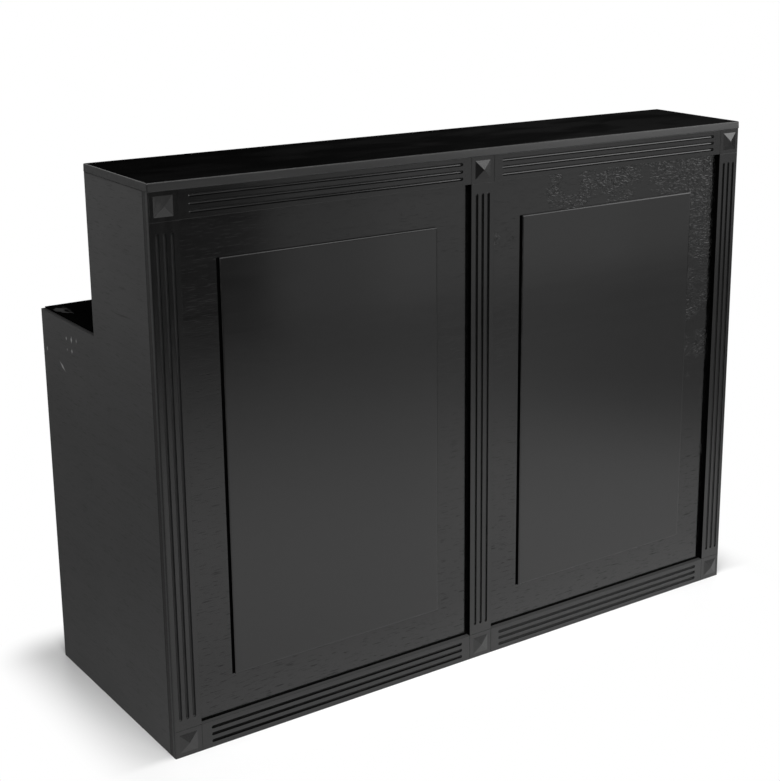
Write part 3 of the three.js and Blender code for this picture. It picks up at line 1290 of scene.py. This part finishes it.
@dataclass
class Studio:
    """A pale paper floor, soft lights and a white background."""

    softboxes: tuple[Softbox, ...]
    floor_low: Pair = (-3.5, -2.95)
    floor_high: Pair = (3.4, 7.0)
    paper: float = 0.68
    tooth: Pattern = Pattern.even(4 * MM)
    tooth_tone: float = 0.1
    sheen: float = 0.36
    swept_paper: float = 0.86
    swept_by: float = 0.30
    swept_fade: float = 0.03
    shade: float = 0.46
    shade_centre: Pair = (1.80, -1.50)
    shade_reach: float = 1.0
    white: Pair = (0.0, 0.16)
    backdrop: Pair = (2.5, 4.0)
    ambient: float = 0.25
    room: float = 0.14
    overhead: float = 0.85
    behind: Pair = (-0.25, 0.35)
    behind_top: Pair = (0.25, 0.60)
    above: Pair = (0.40, 0.80)

    def build(self) -> None:
        """Lay the floor, hang the lights and light the background."""
        self.lay_floor()
        for softbox in self.softboxes:
            softbox.build()
        self.light_background()
        bpy.context.scene.view_settings.view_transform = "Standard"

    def lay_floor(self) -> None:
        """Lay a sheet of pale paper."""
        low, high = Vector(self.floor_low), Vector(self.floor_high)
        size = Matrix.Diagonal((*(high - low) / 2, 1.0, 1.0))
        centre = Matrix.Translation((*(low + high) / 2, 0.0))
        bm = bmesh.new()
        bmesh.ops.create_grid(bm, x_segments=1, y_segments=1, size=1.0, matrix=centre @ size)
        mesh = bpy.data.meshes.new("floor")
        bm.to_mesh(mesh)
        bm.free()
        mesh.materials.append(self.floor_paper())
        floor = bpy.data.objects.new("floor", mesh)
        bpy.context.scene.collection.objects.link(floor)

    def floor_paper(self) -> Material:
        """Make the paper, which turns white to the camera away from the bar.

        Returns:
            The material.
        """
        sheet = Sheet("floor_paper")
        x, y, _ = sheet.axes
        away = self.away(sheet)
        front = CAD_BOX[0].y
        # Painted light: the paper is lighter in front of the bar near its foot, a painted pool of light
        in_front = 1.0 - sheet.step(y, front, front + self.swept_fade)
        painted_light_pool = (1.0 - sheet.step(away, 0.0, self.swept_by)) * in_front
        tooth = (sheet.noise(self.tooth) - 0.5) * self.tooth_tone
        colour = sheet.blend(painted_light_pool + tooth, self.paper, self.swept_paper)
        off = sheet.length(x - self.shade_centre[0], y - self.shade_centre[1])
        shade = (1.0 - sheet.step(off, 0.0, self.shade_reach)) * self.shade
        paper = sheet.paint(Base_Color=sheet.blend(shade, colour, 0.0), Roughness=self.sheen)
        white = sheet.node("Emission", sockets={"Color": WHITE, "Strength": 1.0})
        camera, mirrored = sheet.rays()
        seen = camera * sheet.step(away, *self.white) + mirrored * sheet.step(y, *self.backdrop)
        return sheet.close(sheet.mix(seen, paper, white))

    @staticmethod
    def away(sheet: Sheet) -> Value:
        """Measure how far a point of the floor is from where the bar stands."""
        inside = (to_faces(axis, low, high) for axis, low, high in zip(sheet.axes[:2], *CAD_BOX))
        return sheet.length(*(inner.least(0.0) for inner in inside))

    def light_background(self) -> None:
        """Make the background white, and the room on the camera's side dim in reflections."""
        world = bpy.data.worlds.new("studio")
        world.use_nodes = True
        world.cycles.sampling_method = "NONE"
        sheet = Nodes(world.node_tree)
        camera, mirrored = sheet.rays()
        _, y, z = sheet.split(sheet.node("TexCoord", out="Generated"))
        behind = sheet.step(y, *self.behind) * (1.0 - sheet.step(z, *self.behind_top))
        above = sheet.step(z, *self.above) * (self.overhead - self.room)
        room = self.room + behind * (1.0 - self.room) + above
        other = 1.0 - (camera + mirrored).least(1.0)
        level = camera + mirrored * room + other * self.ambient
        sky = sheet.node("Background", sockets={"Color": WHITE, "Strength": level})
        sheet.node("OutputWorld", sockets={"Surface": sky})
        bpy.context.scene.world = world


LEFT_WING_SCUFFS = (
    Scuff((0.123, 0.780), (0.126, 0.758), 6.0 * MM, 0.32),
    Scuff((0.150, 0.773), (0.152, 0.760), 5.0 * MM, 0.28),
    Scuff((0.098, 0.780), (0.100, 0.764), 4.5 * MM, 0.18),
    Scuff((0.124, 0.752), (0.126, 0.737), 5.5 * MM, 0.28),
    Scuff((0.148, 0.748), (0.150, 0.738), 4.5 * MM, 0.14),
    Scuff((0.201, 0.711), (0.161, 0.688), 5.0 * MM, 0.32),
    Scuff((0.256, 0.728), (0.264, 0.712), 6.0 * MM, 0.22),
    Scuff((-0.070, 0.872), (-0.210, 0.879), 3.0 * MM, 0.002),
)

SOFTBOXES = (
    Softbox("key", (3.6, -3.1, 2.2), (0.0, -0.2, 1.0), (2.8, 2.3), 4.8, 70.0),
    Softbox("near_bounce", (1.25, -3.0, 0.42), (1.25, 0.0, 0.42), (0.5, 0.84), 0.49),
    Softbox("bounce", (2.2, -3.0, 0.42), (2.2, 0.0, 0.42), (1.4, 0.84), 0.70),
    Softbox("far_bounce", (3.55, -3.0, 0.42), (3.55, 0.0, 0.42), (1.3, 0.84), 0.58),
    Softbox("side_bounce", (6.1, -3.0, 0.42), (6.1, 0.0, 0.42), (3.8, 0.84), 1.2),
    Softbox("floor_light", (-0.9, -1.7, 2.9), (0.1, -0.75, 0.0), (1.6, 1.2), 27.0, 85.0),
    Softbox("side_light", (2.2, -0.9, 2.2), (0.8, -0.4, 0.0), (2.0, 1.5), 3.4, 60.0),
    Softbox("room_fill", (0.9, -3.4, 2.6), (0.0, -0.3, 1.0), (1.8, 2.6), 0.45),
    Softbox("edge_light", (1.25, -2.06, 2.79), (-0.34, -0.27, 0.975), (1.3, 0.4), 2.4),
    Softbox("card", (-0.935, -3.6, 0.48), (-0.72, -0.28, 1.1), (0.5, 0.2), 1.8),
)


def main() -> None:
    """Build the sub-assemblies in order, then the studio around them."""
    logging.basicConfig(level=logging.INFO, format="%(message)s")
    PhotoCamera().build()
    front = FrontPanel()
    front.build()
    front.dress()
    for side in Side:
        Wing(side, scuffs=LEFT_WING_SCUFFS if side is Side.LEFT else ()).dress()
        hinges = WingHinges(side)
        hinges.build()
        hinges.dress()
    Worktop().dress()
    counter = Counter()
    counter.build()
    counter.dress()
    Studio(SOFTBOXES).build()


if __name__ == "__main__":
    main()
